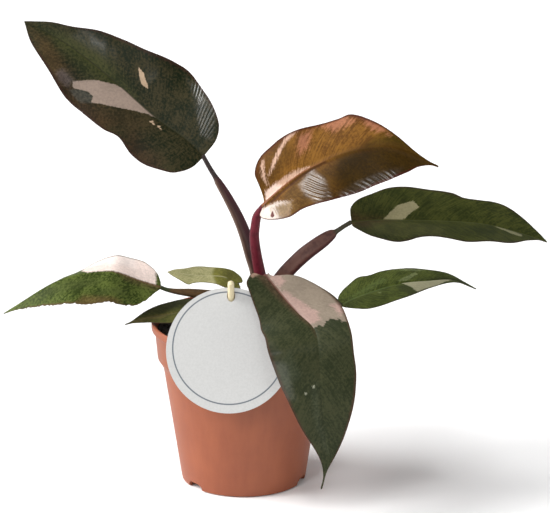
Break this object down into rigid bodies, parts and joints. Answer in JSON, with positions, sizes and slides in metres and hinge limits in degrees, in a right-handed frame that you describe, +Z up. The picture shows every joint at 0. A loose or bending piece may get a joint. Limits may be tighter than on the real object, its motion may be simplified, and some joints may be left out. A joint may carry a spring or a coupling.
{
  "type": "potted philodendron",
  "caption": "Young philodendron with dark glossy, patchily pink leaves on burgundy stalks, in a tapered plastic nursery pot with a round card tag on a stick.",
  "frame": {"origin": "centre of the pot's foot, on the surface that the pot stands on", "axes": "+Z up; +X towards the plant's right and +Y away from the viewer, as seen from its front, where the tag stands"},
  "size_m": [0.3535, 0.1552, 0.2963],
  "materials": {
    "pot": "thin moulded polypropylene with a faint satin, salmon terracotta colour",
    "soil": "dark loose peat and bark fibre, damp and matt",
    "stem": "short brown green stem with pale leaf scars",
    "bud": "smooth reddish brown sheath",
    "dark_leaf": "leathery blade, very dark green with a burgundy cast, glossy, with pink and cream patches",
    "coppery_leaf": "young blade, coppery olive, glossy, with pinkish white streaks",
    "mid_green_leaf": "leathery mid green blade, satin, with pale pink and cream patches",
    "pale_leaf": "pale grey green blade with an olive base, satin",
    "brown_petiole": "smooth reddish brown stalk and sheath, satin",
    "burgundy_petiole": "smooth burgundy stalk, glossy",
    "tag": "stiff white card, matt, with a thin grey printed ring",
    "tag_stick": "smooth pale yellowish wood"
  },
  "bodies": {
    "root": {"pot": "pot", "soil": "soil", "stem": "stem", "bud": "bud", "leaf_upper_left": "dark_leaf", "leaf_top_right": "coppery_leaf", "leaf_right": "dark_leaf", "leaf_lower_right": "mid_green_leaf", "leaf_front": "dark_leaf", "leaf_left": "mid_green_leaf", "leaf_inner_left": "pale_leaf", "leaf_low_left": "mid_green_leaf", "petiole_upper_left": "brown_petiole", "petiole_top_right": "burgundy_petiole", "petiole_right": "brown_petiole", "petiole_lower_right": "brown_petiole", "petiole_front": "brown_petiole", "petiole_left": "brown_petiole", "petiole_inner_left": "brown_petiole", "petiole_low_left": "brown_petiole", "tag": "tag", "tag_stick": "tag_stick"}
  },
  "joints": []
}
